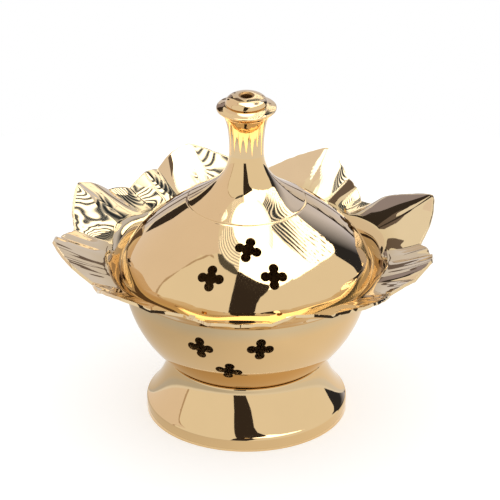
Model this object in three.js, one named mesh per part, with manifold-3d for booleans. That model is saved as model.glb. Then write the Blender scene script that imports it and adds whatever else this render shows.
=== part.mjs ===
// A small footed brass censer: a round pierced bowl on a flared foot, a ring of nine hand-bent
// petals round its rim, and a pierced lid with a hollow neck and a button knob.
// Millimetres, +Z up. The origin is the centre of the foot's base, on the surface it stands on.
import * as THREE from "three";
import * as BufferGeometryUtils from "three/addons/utils/BufferGeometryUtils.js";
import Module from "manifold-3d";

const wasm = await Module();
wasm.setup();

// Clearances between pieces.
const SEAT_GAP = 0.3; // between a curved piece and the curved piece that it rests in
const LID_GAP = 0.4; // all round the lid's edge, inside the petal ring
const SCREW_GAP = 0.3; // all round the screw, in the holes it passes through

// Foot: a ring that flares out to a plain band, folded over at its top into a dished middle that
// cradles the bowl.
const FOOT_RADIUS = 30.1;
const FOOT_WALL = 1.4;
const FOOT_BAND_HEIGHT = 3.4; // the plain upright band at the bottom
const FOOT_CHAMFER = 0.5; // on the outer edge of the base
const FOOT_EDGE_RADIUS = 1.3; // the rounding from the band into the flare
const FOOT_EDGE_TURN = 50; // degrees
const FOOT_FLARE = [[0.348, 0.161], [0.908, 0.593]]; // a curve's handles: see curveBetween
const FOOT_LIP_RADIUS = 23.1; // where the flared wall is folded down into the dish
const FOOT_LIP_WIDTH = 0.5;
const FOOT_LIP_RISE = 0.1; // from the edge of the dished cradle up to the lip
const FOOT_FOLD_INSET = 0.45; // from the lip to the inside of the fold

// Bowl: most of a sphere, open at the top.
const BOWL_RADIUS = 36.9;
const BOWL_WALL = 1.0;
const BOWL_CENTRE_HEIGHT = 46.5;
const BOWL_RIM_DROP = 1.4; // how far the rim lies below the sphere's middle
const BOWL_FLAT_RADIUS = 8.6; // the small flat pressed in the bottom for the screw

// Petal ring: one sheet, flat where it lies on the bowl's rim, then a steep throat and the petals.
const PETAL_SHEET = 0.9;
const LEDGE_OVERHANG = 0.3; // how far the flat ledge runs on past the bowl's rim
const THROAT_FLARE = 3.5; // how far out the throat leans, from its foot to its bend
const THROAT_RISE = 3.6;
const THROAT_RIDGE_RISE = 1.0; // how much higher the bend is under a petal's ridge
const PETAL_COUNT = 9;
const PETAL_LENGTH = 17.4; // outwards, from the bend to a petal's tip
const PETAL_RISE = 12.6; // from the ledge up to a tip
const NOTCH_LENGTH = 10.0; // outwards, from the bend to the notch between two petals
const NOTCH_RISE = 6.8;
const FIRST_PETAL_BEARING = 26; // degrees from +X towards +Y
const PETAL_FULLNESS = 1.15; // 1 gives straight edges from tip to notch, more a fuller leaf
const PETAL_SAG = 0.5; // how far a petal bellies between its bend and its edge
const TOOTH_DEPTH = 0.5; // the file-cut teeth along the edges
const TEETH_PER_PETAL = 7;

// The petals were bent by hand: how each tip, and the notch after it, differs from those sizes,
// outwards, upwards, and in degrees round the axis.
const TIP_BENDS = [
  { out: 2.3, up: 0.0, turn: -3.0 },
  { out: 0.9, up: 0.8, turn: -0.4 },
  { out: 1.1, up: 0.9, turn: 1.5 },
  { out: 1.2, up: 0.3, turn: 2.1 },
  { out: -1.0, up: 0.0, turn: -0.1 },
  { out: -1.8, up: 0.4, turn: 4.4 },
  { out: -0.4, up: -0.8, turn: 2.2 },
  { out: -0.1, up: -0.5, turn: -0.1 },
  { out: -1.6, up: -1.2, turn: -3.0 },
];
const NOTCH_BENDS = [
  { out: -1.1, up: -2.2, turn: 0.0 },
  { out: 0.4, up: -0.4, turn: 0.0 },
  { out: 1.6, up: 0.4, turn: 6.0 },
  { out: 1.8, up: -0.7, turn: 0.0 },
  { out: -0.4, up: 0.6, turn: 1.0 },
  { out: -2.4, up: 1.6, turn: 2.0 },
  { out: -2.8, up: 2.0, turn: 1.0 },
  { out: 0.2, up: 0.4, turn: -1.0 },
  { out: 1.0, up: -1.4, turn: 0.0 },
];

// Creases that bending left across the petals' sides: their bearing, how far they spread to each
// side, both in degrees, and how deep they are at the petals' edge.
const CREASES = [
  { bearing: 43.0, spread: 4.5, depth: 1.8 },
  { bearing: 55.5, spread: 5.5, depth: 1.8 },
  { bearing: 118.5, spread: 6.0, depth: 2.6 },
  { bearing: 138.5, spread: 5.5, depth: 1.7 },
  { bearing: 176.0, spread: 5.0, depth: 1.0 },
  { bearing: 215.0, spread: 5.5, depth: 0.9 },
  { bearing: 239.0, spread: 5.0, depth: 0.8 },
  { bearing: 258.0, spread: 5.0, depth: 0.7 },
  { bearing: 278.0, spread: 5.0, depth: 0.8 },
  { bearing: 297.0, spread: 5.0, depth: 0.8 },
  { bearing: 335.0, spread: 5.0, depth: 1.2 },
  { bearing: 355.0, spread: 5.0, depth: 1.4 },
];
const CREASE_SHARPNESS = 1.5; // 1 gives a plain V
const CREASE_BELLY_SHARE = 0.45; // of a crease's depth, halfway out along the petal

// Lid: a pierced dome with a turned-in lip, a hollow neck, and a ring that centres it in the bowl.
const LID_OVERHANG = 0.8; // how far the lid's edge stands out past the bowl's widest
const LID_WALL = 1.0;
const LID_LIP_WIDTH = 3.4;
const LID_SEAM_RADIUS = 17.6; // where the neck is joined to the dome
const DOME_RISE = 23.3; // from the ledge up to the seam
const DOME_SHOULDER = [[-0.015, 0.31], [0.5, 0.70]];
const NECK_RADIUS = 5.2; // at the waist
const NECK_WALL = 1.1;
const NECK_WAIST_RISE = 15.7; // from the seam
const NECK_RISE = 28.4;
const NECK_TOP_RADIUS = 7.2;
const NECK_FLARE = [[0.45, 0.235], [0.98, 0.42]];
const NECK_COLLAR = [[0, 0.5], [0.3, 0.78]];
const CENTRING_RING_WALL = 0.8;
const CENTRING_RING_DEPTH = 4.0;
const CENTRING_RING_GAP = 0.7; // between the ring and the bowl's mouth

// Knob: a saucer with a button on it, both with the smoke hole through them.
const SAUCER_RADIUS = 8.95;
const SAUCER_EDGE_RISE = 1.8; // from the neck's top up to the saucer's widest
const SAUCER_HEIGHT = 3.0; // to where the button stands, at the top of the saucer's slope
const SAUCER_EDGE = 0.6;
const BUTTON_RADIUS = 6.25;
const BUTTON_HEIGHT = 2.8;
const BUTTON_EDGE = 0.4;
const BUTTON_CROWN = [[0, 0.66], [0.44, 1]];
const SMOKE_HOLE_RADIUS = 1.7;

// Piercings: four-lobed holes in groups of three, evenly round the bowl and round the lid.
const LOBE_RADIUS = 1.5;
const LOBE_OFFSET = 2.55; // from the hole's middle to a lobe's
const LOBE_CORNER = 1.4; // how far out, each way, the corner between two lobes is
const PUNCH_REACH = 3; // to each side of the sheet, in sheet thicknesses
const PIERCING_GROUPS = 3;
const BOWL_GROUP_BEARING = 261.8;
const LID_GROUP_BEARING = 268.1;

// The three holes of a group were set out by eye: how far each lies below the bowl's middle, or in
// from the lid's edge, and its turn in degrees from the group's bearing.
const BOWL_HOLES = [
  { drop: 9.9, turn: -14.3 },
  { drop: 9.1, turn: 14.8 },
  { drop: 18.4, turn: -1.2 },
];
const LID_HOLES = [
  { inset: 6.4, turn: -17.8 },
  { inset: 7.0, turn: 17.2 },
  { inset: 13.7, turn: 3.1 },
];

// Charcoal dish: a loose dish that rests on the bowl's wall, above the screw.
const DISH_LIP_RISE = 12.4; // from the bowl's floor up to the underside of the dish's lip
const DISH_WALL = 0.8;
const DISH_FLOOR_RADIUS = 17.2;
const DISH_DEPTH = 7.0;
const DISH_LIP_WIDTH = 1.6;
const DISH_SIDE = [[0.4, 0], [0.83, 0.57]];

// Screw, washer and nut that hold the bowl to the foot.
const SCREW_RADIUS = 2.0;
const SCREW_HEAD_RADIUS = 4.2;
const SCREW_HEAD_HEIGHT = 2.0;
const SCREW_HEAD_SIDE = 0.9; // the upright part of the head's edge
const SCREW_HEAD_CROWN = [[0, 0.6], [0.5, 1]];
const SCREW_SLOT_WIDTH = 1.0;
const SCREW_SLOT_DEPTH = 1.0;
const SCREW_TAIL = 0.8; // how far the screw stands out below its nut
const SCREW_POINT = 0.4; // the chamfer on the screw's end
const WASHER_RADIUS = 4.8;
const WASHER_THICKNESS = 0.8;
const NUT_ACROSS_FLATS = 7.0;
const NUT_HEIGHT = 2.4;

// How finely the round pieces are divided, round the axis and along their sections.
const BODY_SEGMENTS = 48;
const NECK_SEGMENTS = 32;
const SCREW_SEGMENTS = 16;
const LOBE_STEPS = 5;
const WALL_STEPS = 8;
const FLARE_STEPS = 5;
const EDGE_STEPS = 2;
const COLLAR_STEPS = 4;
const CROWN_STEPS = 5;
const CRADLE_STEPS = 4;
const HALVINGS = 40; // how closely a place on a curve is found
const MERGE_DISTANCE = 1e-4;

const BRASS = { color: 0xd9a64e, roughness: 0.12, metalness: 1.0 };
const PALE_BRASS = { color: 0xe0bd74, roughness: 0.14, metalness: 1.0 };
const DULL_BRASS = { color: 0xb08138, roughness: 0.42, metalness: 1.0 };
const STEEL = { color: 0xa9a9a6, roughness: 0.35, metalness: 1.0 };

const censer = new THREE.Group();
const lid = new THREE.Group();
censer.add(lid);

function addPiece(group, name, geometry, look) {
  const piece = new THREE.Mesh(geometry, new THREE.MeshStandardMaterial(look));
  piece.name = name;
  group.add(piece);
}

// Only positions, with shared corners merged, so that the solid is closed.
function closed(geometry) {
  geometry.deleteAttribute("normal");
  geometry.deleteAttribute("uv");
  return BufferGeometryUtils.mergeVertices(geometry, MERGE_DISTANCE);
}

// A solid of revolution about Z, from [radius, height] points. They run anticlockwise round the
// section, and either come back to the first point or start and end on the axis.
function turned(section, segments) {
  const points = section.map(([radius, height]) => new THREE.Vector2(radius, height));
  const geometry = new THREE.LatheGeometry(points, segments);
  geometry.rotateX(Math.PI / 2);
  return closed(geometry);
}

// A ring of rectangular section.
function turnedRing(innerRadius, outerRadius, bottom, top, segments) {
  const section = [
    [innerRadius, bottom],
    [outerRadius, bottom],
    [outerRadius, top],
    [innerRadius, top],
    [innerRadius, bottom],
  ];
  return turned(section, segments);
}

// Where a sphere centred on the axis has a given radius, below its middle, and the reverse.
function sphereHeight(sphereRadius, centreHeight, radius) {
  return centreHeight - Math.sqrt(sphereRadius ** 2 - radius ** 2);
}

function sphereRadiusAt(sphereRadius, centreHeight, height) {
  return Math.sqrt(sphereRadius ** 2 - (height - centreHeight) ** 2);
}

// Points up the lower half of a sphere centred on the axis, from one radius out to another.
function sphereArc(sphereRadius, centreHeight, fromRadius, toRadius, steps) {
  const from = Math.asin(fromRadius / sphereRadius);
  const to = Math.asin(toRadius / sphereRadius);
  const points = [];
  for (let i = 0; i <= steps; i += 1) {
    const angle = from + ((to - from) * i) / steps;
    points.push([sphereRadius * Math.sin(angle), centreHeight - sphereRadius * Math.cos(angle)]);
  }
  return points;
}

// A curve from one [radius, height] point to another. Its two handles are given as shares of the
// way between them, across and up, so that the curve keeps its character when a size changes.
function curveBetween(start, end, handles) {
  const run = end[0] - start[0];
  const rise = end[1] - start[1];
  const [startPull, endPull] = handles.map(([across, up]) => {
    return new THREE.Vector2(start[0] + run * across, start[1] + rise * up);
  });
  return new THREE.CubicBezierCurve(
    new THREE.Vector2(...start),
    startPull,
    endPull,
    new THREE.Vector2(...end),
  );
}

function pointsOf(curve, steps) {
  return curve.getPoints(steps).map((point) => [point.x, point.y]);
}

// The same line moved to its left, for the other face of a sheet.
function leftOf(line, distance) {
  return line.map((point, i) => {
    const before = line[Math.max(i - 1, 0)];
    const after = line[Math.min(i + 1, line.length - 1)];
    const run = after[0] - before[0];
    const rise = after[1] - before[1];
    const length = Math.hypot(run, rise);
    return [point[0] - (rise / length) * distance, point[1] + (run / length) * distance];
  });
}

function toManifold(geometry) {
  const mesh = new wasm.Mesh({
    numProp: 3,
    vertProperties: new Float32Array(geometry.attributes.position.array),
    triVerts: new Uint32Array(geometry.index.array),
  });
  return new wasm.Manifold(mesh);
}

function fromManifold(solid) {
  const mesh = solid.getMesh();
  const geometry = new THREE.BufferGeometry();
  geometry.setAttribute("position", new THREE.BufferAttribute(mesh.vertProperties, 3));
  geometry.setIndex(new THREE.BufferAttribute(mesh.triVerts, 1));
  return geometry;
}

// The outline of a piercing: four round lobes and the corners between them.
function fourLobes() {
  const halfTurn = Math.atan2(LOBE_CORNER, LOBE_CORNER - LOBE_OFFSET);
  const points = [];
  for (let lobe = 0; lobe < 4; lobe += 1) {
    const bearing = (lobe * Math.PI) / 2;
    const x = LOBE_OFFSET * Math.cos(bearing);
    const y = LOBE_OFFSET * Math.sin(bearing);
    for (let step = 0; step <= LOBE_STEPS; step += 1) {
      const angle = bearing + halfTurn * ((2 * step) / LOBE_STEPS - 1);
      const point = [x + LOBE_RADIUS * Math.cos(angle), y + LOBE_RADIUS * Math.sin(angle)];
      points.push(new THREE.Vector2(...point));
    }
  }
  return new THREE.Shape(points);
}

// Cuts piercings square through a sheet. A hole is a place on the sheet: its radius and height,
// its tilt, which is the sheet's outward direction above the horizontal, and its bearing.
function pierce(geometry, holes, wall) {
  const depth = wall * PUNCH_REACH * 2;
  let solid = toManifold(geometry);
  for (const hole of holes) {
    const punch = new THREE.ExtrudeGeometry(fourLobes(), { depth, bevelEnabled: false });
    punch.translate(0, 0, -depth / 2);
    punch.rotateY(Math.PI / 2 - hole.tilt);
    punch.translate(hole.radius, 0, hole.height);
    punch.rotateZ(THREE.MathUtils.degToRad(hole.bearing));
    solid = solid.subtract(toManifold(closed(punch)));
  }
  return fromManifold(solid);
}

// Every group's holes, from the places and turns of the holes in one group.
function piercingsAt(groupBearing, groupHoles) {
  const holes = [];
  for (let group = 0; group < PIERCING_GROUPS; group += 1) {
    const middle = groupBearing + (360 / PIERCING_GROUPS) * group;
    for (const { place, turn } of groupHoles) {
      holes.push({ ...place, bearing: middle + turn });
    }
  }
  return holes;
}

// Heights and radii that neighbouring pieces share.
const bowlFlatHeight = sphereHeight(BOWL_RADIUS, BOWL_CENTRE_HEIGHT, BOWL_FLAT_RADIUS);
const bowlInnerRadius = BOWL_RADIUS - BOWL_WALL;
const bowlFloorHeight = bowlFlatHeight + BOWL_WALL;
const bowlRimHeight = BOWL_CENTRE_HEIGHT - BOWL_RIM_DROP;
const mouthRadius = sphereRadiusAt(bowlInnerRadius, BOWL_CENTRE_HEIGHT, bowlRimHeight);
const ledgeHeight = bowlRimHeight + PETAL_SHEET;
const lidRadius = BOWL_RADIUS + LID_OVERHANG;
const throatFootRadius = lidRadius + LID_GAP;
const throatRadius = throatFootRadius + THROAT_FLARE;
const seamHeight = ledgeHeight + DOME_RISE;
const neckTopHeight = seamHeight + NECK_RISE;
const footFlatUnderside = bowlFlatHeight - FOOT_WALL;
const screwHoleRadius = SCREW_RADIUS + SCREW_GAP;

function makeFoot() {
  const cradleRadius = BOWL_RADIUS + SEAT_GAP;
  const lipHeight = sphereHeight(cradleRadius, BOWL_CENTRE_HEIGHT, FOOT_LIP_RADIUS) + FOOT_LIP_RISE;
  const edgeCentre = FOOT_RADIUS - FOOT_EDGE_RADIUS;
  const edge = [];
  for (let i = 0; i <= EDGE_STEPS; i += 1) {
    const angle = THREE.MathUtils.degToRad((FOOT_EDGE_TURN * i) / EDGE_STEPS);
    const radius = edgeCentre + FOOT_EDGE_RADIUS * Math.cos(angle);
    edge.push([radius, FOOT_BAND_HEIGHT + FOOT_EDGE_RADIUS * Math.sin(angle)]);
  }
  const lip = [FOOT_LIP_RADIUS + FOOT_LIP_WIDTH, lipHeight];
  const flare = pointsOf(curveBetween(edge[EDGE_STEPS], lip, FOOT_FLARE), FLARE_STEPS);
  const cradle = sphereArc(
    cradleRadius,
    BOWL_CENTRE_HEIGHT,
    BOWL_FLAT_RADIUS + SEAT_GAP,
    FOOT_LIP_RADIUS,
    CRADLE_STEPS,
  );
  const underside = sphereArc(
    cradleRadius + FOOT_WALL,
    BOWL_CENTRE_HEIGHT,
    BOWL_FLAT_RADIUS + SEAT_GAP,
    FOOT_LIP_RADIUS - FOOT_FOLD_INSET,
    CRADLE_STEPS,
  );
  const section = [
    [FOOT_RADIUS - FOOT_CHAMFER, 0],
    [FOOT_RADIUS, FOOT_CHAMFER],
    ...edge,
    ...flare.slice(1),
    ...cradle.reverse(),
    [BOWL_FLAT_RADIUS, bowlFlatHeight],
    [screwHoleRadius, bowlFlatHeight],
    [screwHoleRadius, footFlatUnderside],
    [BOWL_FLAT_RADIUS, footFlatUnderside],
    ...underside,
    ...leftOf(flare, FOOT_WALL).slice(0, -1).reverse(),
    [FOOT_RADIUS - FOOT_WALL, 0],
    [FOOT_RADIUS - FOOT_CHAMFER, 0],
  ];
  return turned(section, BODY_SEGMENTS);
}

function makeBowl() {
  const floorRadius = sphereRadiusAt(bowlInnerRadius, BOWL_CENTRE_HEIGHT, bowlFloorHeight);
  const rimRadius = sphereRadiusAt(BOWL_RADIUS, BOWL_CENTRE_HEIGHT, bowlRimHeight);
  const outside = sphereArc(
    BOWL_RADIUS,
    BOWL_CENTRE_HEIGHT,
    BOWL_FLAT_RADIUS,
    rimRadius,
    WALL_STEPS,
  );
  const inside = sphereArc(
    bowlInnerRadius,
    BOWL_CENTRE_HEIGHT,
    floorRadius,
    mouthRadius,
    WALL_STEPS,
  );
  const section = [
    [screwHoleRadius, bowlFlatHeight],
    ...outside,
    ...inside.reverse(),
    [screwHoleRadius, bowlFloorHeight],
    [screwHoleRadius, bowlFlatHeight],
  ];
  const placeAt = (height) => ({
    radius: sphereRadiusAt(BOWL_RADIUS, BOWL_CENTRE_HEIGHT, height),
    height,
    tilt: Math.asin((height - BOWL_CENTRE_HEIGHT) / BOWL_RADIUS),
  });
  const groupHoles = BOWL_HOLES.map(({ drop, turn }) => {
    return { place: placeAt(BOWL_CENTRE_HEIGHT - drop), turn };
  });
  const holes = piercingsAt(BOWL_GROUP_BEARING, groupHoles);
  return pierce(turned(section, BODY_SEGMENTS), holes, BOWL_WALL);
}

// A petal's tip, or the notch after it, with its own bend added to the common size.
function petalTip(index) {
  const bend = TIP_BENDS[(index % PETAL_COUNT) % TIP_BENDS.length];
  return {
    reach: throatRadius + PETAL_LENGTH + bend.out,
    height: ledgeHeight + PETAL_RISE + bend.up,
    bearing: FIRST_PETAL_BEARING + (360 / PETAL_COUNT) * index + bend.turn,
  };
}

function petalNotch(index) {
  const bend = NOTCH_BENDS[(index % PETAL_COUNT) % NOTCH_BENDS.length];
  return {
    reach: throatRadius + NOTCH_LENGTH + bend.out,
    height: ledgeHeight + NOTCH_RISE + bend.up,
    bearing: FIRST_PETAL_BEARING + (360 / PETAL_COUNT) * (index + 0.5) + bend.turn,
  };
}

function creaseDepth(bearing) {
  let depth = 0;
  for (const crease of CREASES) {
    const turn = THREE.MathUtils.euclideanModulo(bearing - crease.bearing + 180, 360) - 180;
    const nearness = Math.max(0, 1 - Math.abs(turn) / crease.spread);
    depth += crease.depth * nearness ** CREASE_SHARPNESS;
  }
  return depth;
}

// The ring's upper face on one bearing, from the mouth out to the petals' edge. Ridge is 1 along
// a petal's middle and 0 along the fold between two petals.
function petalLine(tip, notch, ridge, bearing, toothOffset) {
  const { lerp } = THREE.MathUtils;
  const fullness = 1 - (1 - ridge) ** PETAL_FULLNESS;
  const edgeReach = lerp(notch.reach, tip.reach, fullness) + toothOffset;
  const crease = creaseDepth(bearing);
  const flatHeight = lerp(notch.height, tip.height, ridge);
  const bendHeight = ledgeHeight + THROAT_RISE + THROAT_RIDGE_RISE * ridge;
  const middle = [
    (throatRadius + edgeReach) / 2,
    (bendHeight + flatHeight) / 2 - PETAL_SAG - crease * CREASE_BELLY_SHARE,
  ];
  return [
    [mouthRadius, ledgeHeight],
    [BOWL_RADIUS + LEDGE_OVERHANG, ledgeHeight],
    [throatFootRadius, ledgeHeight],
    [throatRadius, bendHeight],
    middle,
    [edgeReach, flatHeight - crease],
  ];
}

function makePetalRing() {
  const loops = [];
  const stepsPerSide = TEETH_PER_PETAL;
  for (let petal = 0; petal < PETAL_COUNT; petal += 1) {
    const notch = petalNotch(petal);
    const sides = [
      { tip: petalTip(petal), fromRidge: true },
      { tip: petalTip(petal + 1), fromRidge: false },
    ];
    for (const { tip, fromRidge } of sides) {
      for (let step = 0; step < stepsPerSide; step += 1) {
        const along = step / stepsPerSide;
        const ridge = fromRidge ? 1 - along : along;
        const bearing = THREE.MathUtils.lerp(notch.bearing, tip.bearing, ridge);
        const toothOffset = loops.length % 2 === 0 ? 0 : -TOOTH_DEPTH;
        const upper = petalLine(tip, notch, ridge, bearing, toothOffset);
        const lower = leftOf(upper, -PETAL_SHEET);
        loops.push({ bearing, section: [...lower, ...upper.reverse()] });
      }
    }
  }
  return sweptRound(loops);
}

// A closed ring skinned over sections that stand on successive bearings.
function sweptRound(loops) {
  const count = loops[0].section.length;
  const positions = [];
  const index = [];
  loops.forEach(({ bearing, section }, i) => {
    const angle = THREE.MathUtils.degToRad(bearing);
    const next = (i + 1) % loops.length;
    section.forEach(([radius, height], j) => {
      positions.push(radius * Math.cos(angle), radius * Math.sin(angle), height);
      const across = (j + 1) % count;
      const a = i * count + j;
      const b = next * count + j;
      const c = next * count + across;
      const d = i * count + across;
      index.push(a, b, c, a, c, d);
    });
  });
  const geometry = new THREE.BufferGeometry();
  geometry.setAttribute("position", new THREE.Float32BufferAttribute(positions, 3));
  geometry.setIndex(index);
  return geometry;
}

// The dome's outer curve, from its edge on the ledge up to the seam with the neck.
const domeCurve = curveBetween(
  [lidRadius, ledgeHeight],
  [LID_SEAM_RADIUS, seamHeight],
  DOME_SHOULDER,
);
// A level cut through the sloping sheet is wider than the sheet is thick.
const seamWidth = LID_WALL / domeCurve.getTangent(1).y;
const seamInnerRadius = LID_SEAM_RADIUS - seamWidth;

// The place on the dome's curve that lies at a given radius.
function placeOnDome(radius) {
  let low = 0;
  let high = 1;
  for (let i = 0; i < HALVINGS; i += 1) {
    const middle = (low + high) / 2;
    if (domeCurve.getPoint(middle).x > radius) {
      low = middle;
    } else {
      high = middle;
    }
  }
  const point = domeCurve.getPoint(low);
  const along = domeCurve.getTangent(low);
  return { radius, height: point.y, tilt: Math.atan2(-along.x, along.y) };
}

function makeLidDome() {
  const outside = pointsOf(domeCurve, WALL_STEPS);
  const inside = leftOf(outside, LID_WALL).slice(1, -1).reverse();
  const lipInnerRadius = lidRadius - LID_LIP_WIDTH;
  const section = [
    ...outside,
    [seamInnerRadius, seamHeight],
    ...inside,
    [lidRadius - LID_WALL, ledgeHeight + LID_WALL],
    [lipInnerRadius, ledgeHeight + LID_WALL],
    [lipInnerRadius, ledgeHeight],
    outside[0],
  ];
  const groupHoles = LID_HOLES.map(({ inset, turn }) => {
    return { place: placeOnDome(lidRadius - inset), turn };
  });
  const holes = piercingsAt(LID_GROUP_BEARING, groupHoles);
  return pierce(turned(section, BODY_SEGMENTS), holes, LID_WALL);
}

function makeCentringRing() {
  const outerRadius = mouthRadius - CENTRING_RING_GAP;
  const innerRadius = outerRadius - CENTRING_RING_WALL;
  const bottom = ledgeHeight - CENTRING_RING_DEPTH;
  return turnedRing(innerRadius, outerRadius, bottom, ledgeHeight, BODY_SEGMENTS);
}

function makeNeck() {
  const seam = [LID_SEAM_RADIUS, seamHeight];
  const waist = [NECK_RADIUS, seamHeight + NECK_WAIST_RISE];
  const flare = curveBetween(seam, waist, NECK_FLARE);
  const collar = curveBetween(waist, [NECK_TOP_RADIUS, neckTopHeight], NECK_COLLAR);
  const outside = pointsOf(flare, WALL_STEPS);
  const inside = leftOf(outside, NECK_WALL).slice(1).reverse();
  const section = [
    ...outside,
    ...pointsOf(collar, COLLAR_STEPS).slice(1),
    [NECK_RADIUS - NECK_WALL, neckTopHeight],
    ...inside,
    [seamInnerRadius, seamHeight],
    outside[0],
  ];
  return turned(section, NECK_SEGMENTS);
}

const saucerTop = neckTopHeight + SAUCER_HEIGHT;

function makeSaucer() {
  const widestHeight = neckTopHeight + SAUCER_EDGE_RISE;
  const section = [
    [SMOKE_HOLE_RADIUS, neckTopHeight],
    [NECK_TOP_RADIUS, neckTopHeight],
    [SAUCER_RADIUS - SAUCER_EDGE / 2, widestHeight - SAUCER_EDGE],
    [SAUCER_RADIUS, widestHeight],
    [SAUCER_RADIUS - SAUCER_EDGE / 2, widestHeight + SAUCER_EDGE / 2],
    [BUTTON_RADIUS, saucerTop],
    [SMOKE_HOLE_RADIUS, saucerTop],
    [SMOKE_HOLE_RADIUS, neckTopHeight],
  ];
  return turned(section, NECK_SEGMENTS);
}

function makeButton() {
  const crownHeight = saucerTop + BUTTON_HEIGHT;
  const crown = curveBetween(
    [BUTTON_RADIUS, saucerTop + BUTTON_EDGE],
    [SMOKE_HOLE_RADIUS + BUTTON_EDGE, crownHeight],
    BUTTON_CROWN,
  );
  const section = [
    [SMOKE_HOLE_RADIUS, saucerTop],
    [BUTTON_RADIUS - BUTTON_EDGE, saucerTop],
    ...pointsOf(crown, CROWN_STEPS),
    [SMOKE_HOLE_RADIUS, crownHeight - BUTTON_EDGE],
    [SMOKE_HOLE_RADIUS, saucerTop],
  ];
  return turned(section, NECK_SEGMENTS);
}

function makeDish() {
  const lipHeight = bowlFloorHeight + DISH_LIP_RISE;
  const lipRadius = sphereRadiusAt(bowlInnerRadius - SEAT_GAP, BOWL_CENTRE_HEIGHT, lipHeight);
  const floorHeight = lipHeight - DISH_DEPTH;
  const wall = curveBetween(
    [DISH_FLOOR_RADIUS, floorHeight],
    [lipRadius - DISH_LIP_WIDTH, lipHeight],
    DISH_SIDE,
  );
  const underside = [[0, floorHeight], ...pointsOf(wall, COLLAR_STEPS), [lipRadius, lipHeight]];
  const upperFace = leftOf(underside, DISH_WALL).reverse();
  upperFace[upperFace.length - 1] = [0, floorHeight + DISH_WALL];
  return turned([...underside, ...upperFace], BODY_SEGMENTS);
}

const nutTop = footFlatUnderside - WASHER_THICKNESS;
const nutBottom = nutTop - NUT_HEIGHT;

function makeScrew() {
  const tail = nutBottom - SCREW_TAIL;
  const headTop = bowlFloorHeight + SCREW_HEAD_HEIGHT;
  const crown = curveBetween(
    [SCREW_HEAD_RADIUS, bowlFloorHeight + SCREW_HEAD_SIDE],
    [0, headTop],
    SCREW_HEAD_CROWN,
  );
  const section = [
    [0, tail],
    [SCREW_RADIUS - SCREW_POINT, tail],
    [SCREW_RADIUS, tail + SCREW_POINT],
    [SCREW_RADIUS, bowlFloorHeight],
    [SCREW_HEAD_RADIUS, bowlFloorHeight],
    ...pointsOf(crown, CROWN_STEPS),
  ];
  const slot = new THREE.BoxGeometry(
    SCREW_HEAD_RADIUS * 2 + SCREW_SLOT_WIDTH,
    SCREW_SLOT_WIDTH,
    SCREW_SLOT_DEPTH * 2,
  );
  slot.translate(0, 0, headTop);
  const screw = toManifold(turned(section, SCREW_SEGMENTS));
  return fromManifold(screw.subtract(toManifold(closed(slot))));
}

function makeWasher() {
  return turnedRing(screwHoleRadius, WASHER_RADIUS, nutTop, footFlatUnderside, SCREW_SEGMENTS);
}

function makeNut() {
  const cornerRadius = NUT_ACROSS_FLATS / Math.sqrt(3);
  const corners = [];
  for (let corner = 0; corner < 6; corner += 1) {
    const angle = (corner * Math.PI) / 3;
    const point = [cornerRadius * Math.cos(angle), cornerRadius * Math.sin(angle)];
    corners.push(new THREE.Vector2(...point));
  }
  const shape = new THREE.Shape(corners);
  const hole = new THREE.Path();
  hole.absarc(0, 0, screwHoleRadius, 0, Math.PI * 2, true);
  shape.holes.push(hole);
  const geometry = new THREE.ExtrudeGeometry(shape, {
    depth: NUT_HEIGHT,
    bevelEnabled: false,
    curveSegments: SCREW_SEGMENTS / 2,
  });
  geometry.translate(0, 0, nutBottom);
  return closed(geometry);
}

addPiece(censer, "foot", makeFoot(), BRASS);
addPiece(censer, "bowl", makeBowl(), BRASS);
addPiece(censer, "petal_ring", makePetalRing(), PALE_BRASS);
addPiece(censer, "base_screw", makeScrew(), STEEL);
addPiece(censer, "base_washer", makeWasher(), STEEL);
addPiece(censer, "base_nut", makeNut(), STEEL);
addPiece(censer, "charcoal_dish", makeDish(), DULL_BRASS);
addPiece(lid, "lid_dome", makeLidDome(), BRASS);
addPiece(lid, "lid_centring_ring", makeCentringRing(), DULL_BRASS);
addPiece(lid, "lid_neck", makeNeck(), BRASS);
addPiece(lid, "knob_saucer", makeSaucer(), BRASS);
addPiece(lid, "knob_button", makeButton(), BRASS);

export default censer;
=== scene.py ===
import math

import bmesh
import bpy
from mathutils import Matrix, Vector, noise
from mathutils.geometry import interpolate_bezier


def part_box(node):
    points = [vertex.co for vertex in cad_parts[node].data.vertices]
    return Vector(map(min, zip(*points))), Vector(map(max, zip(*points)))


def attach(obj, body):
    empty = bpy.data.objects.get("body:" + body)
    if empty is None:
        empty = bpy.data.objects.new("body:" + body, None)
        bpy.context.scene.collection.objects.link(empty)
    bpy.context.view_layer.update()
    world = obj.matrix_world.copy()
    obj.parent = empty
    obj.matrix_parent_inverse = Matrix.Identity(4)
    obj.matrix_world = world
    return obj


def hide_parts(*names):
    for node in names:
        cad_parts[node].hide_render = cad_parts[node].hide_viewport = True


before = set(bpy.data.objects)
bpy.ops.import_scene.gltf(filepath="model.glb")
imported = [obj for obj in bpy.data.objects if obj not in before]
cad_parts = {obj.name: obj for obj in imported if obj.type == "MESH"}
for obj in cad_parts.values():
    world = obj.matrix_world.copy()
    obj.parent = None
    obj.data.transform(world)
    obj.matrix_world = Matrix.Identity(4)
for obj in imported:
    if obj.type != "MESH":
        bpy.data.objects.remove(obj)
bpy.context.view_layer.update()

MM = 0.001
# How finely outlines are stepped and turned, and which points are one and which edges sharp.
POINT_SPACING = 0.7 * MM
CURVE_EXCESS = 1.2
SPIN_STEPS = 192
SAME_PLACE = 1e-7
CRISP_ANGLE = math.radians(35)
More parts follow.
